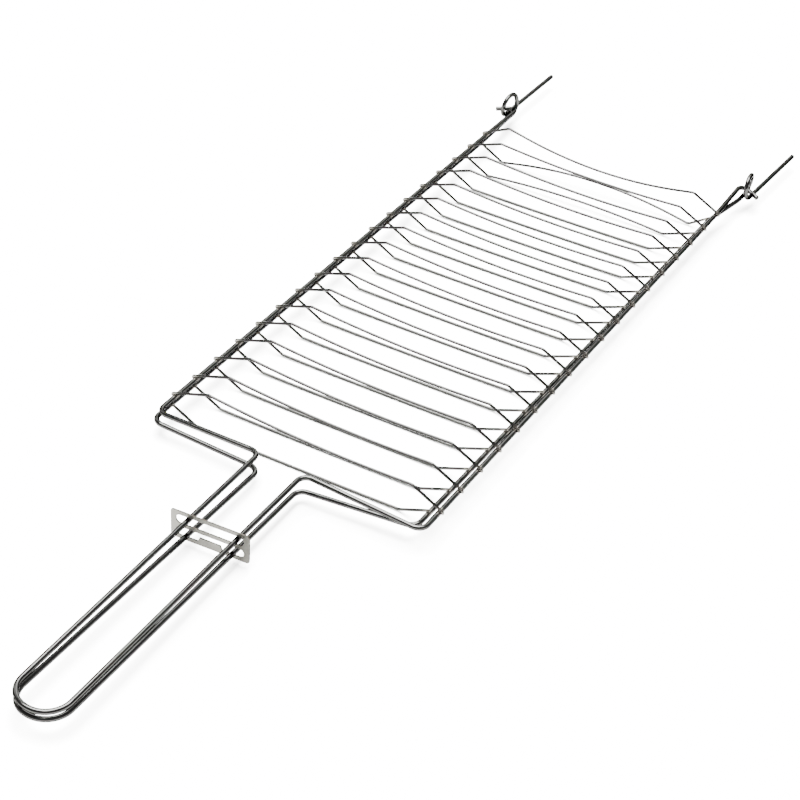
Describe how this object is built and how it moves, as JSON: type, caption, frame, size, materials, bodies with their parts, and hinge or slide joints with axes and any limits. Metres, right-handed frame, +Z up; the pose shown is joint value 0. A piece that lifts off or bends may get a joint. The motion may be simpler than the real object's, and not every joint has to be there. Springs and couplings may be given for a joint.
{
  "type": "grill grate",
  "caption": "Hinged two-leaf wire grate for grilling fish, with bent-wire handles, a sliding clamp plate that locks them together and rest rods behind the hinge.",
  "frame": {"origin": "middle of the grate's outline, on the surface that it lies on", "axes": "+Y from the handles towards the rest rods, +Z up, +X to the right with the handles near"},
  "size_m": [0.2286, 0.8041, 0.0296],
  "materials": {
    "frame_wire": "bright plated",
    "cross_wire": "bright plated",
    "plate": "satin plated"
  },
  "bodies": {
    "lower_leaf": {"lower_frame": "frame_wire", "lower_wire_01": "cross_wire", "lower_wire_02": "cross_wire", "lower_wire_03": "cross_wire", "lower_wire_04": "cross_wire", "lower_wire_05": "cross_wire", "lower_wire_06": "cross_wire", "lower_wire_07": "cross_wire", "lower_wire_08": "cross_wire", "lower_wire_09": "cross_wire", "lower_wire_10": "cross_wire", "lower_wire_11": "cross_wire", "lower_wire_12": "cross_wire", "lower_wire_13": "cross_wire", "lower_wire_14": "cross_wire", "lower_wire_15": "cross_wire", "lower_wire_16": "cross_wire", "lower_wire_17": "cross_wire", "lower_wire_18": "cross_wire"},
    "upper_leaf": {"upper_frame": "frame_wire", "upper_wire_01": "cross_wire", "upper_wire_02": "cross_wire", "upper_wire_03": "cross_wire", "upper_wire_04": "cross_wire", "upper_wire_05": "cross_wire", "upper_wire_06": "cross_wire", "upper_wire_07": "cross_wire", "upper_wire_08": "cross_wire", "upper_wire_09": "cross_wire", "upper_wire_10": "cross_wire", "upper_wire_11": "cross_wire", "upper_wire_12": "cross_wire", "upper_wire_13": "cross_wire", "upper_wire_14": "cross_wire", "upper_wire_15": "cross_wire", "upper_wire_16": "cross_wire", "upper_wire_17": "cross_wire", "upper_wire_18": "cross_wire"},
    "clamp": {"clamp_plate": "plate"}
  },
  "joints": [
    {"name": "leaf_hinge", "type": "hinge", "parent": "lower_leaf", "child": "upper_leaf", "pos_m": [0, 0.32501, 0.01592], "axis": [-1, 0, 0], "range_deg": [0, 170]},
    {"name": "clamp_slide", "type": "slide", "parent": "upper_leaf", "child": "clamp", "axis": [0, -1, 0], "range_m": [0, 0.115]}
  ]
}
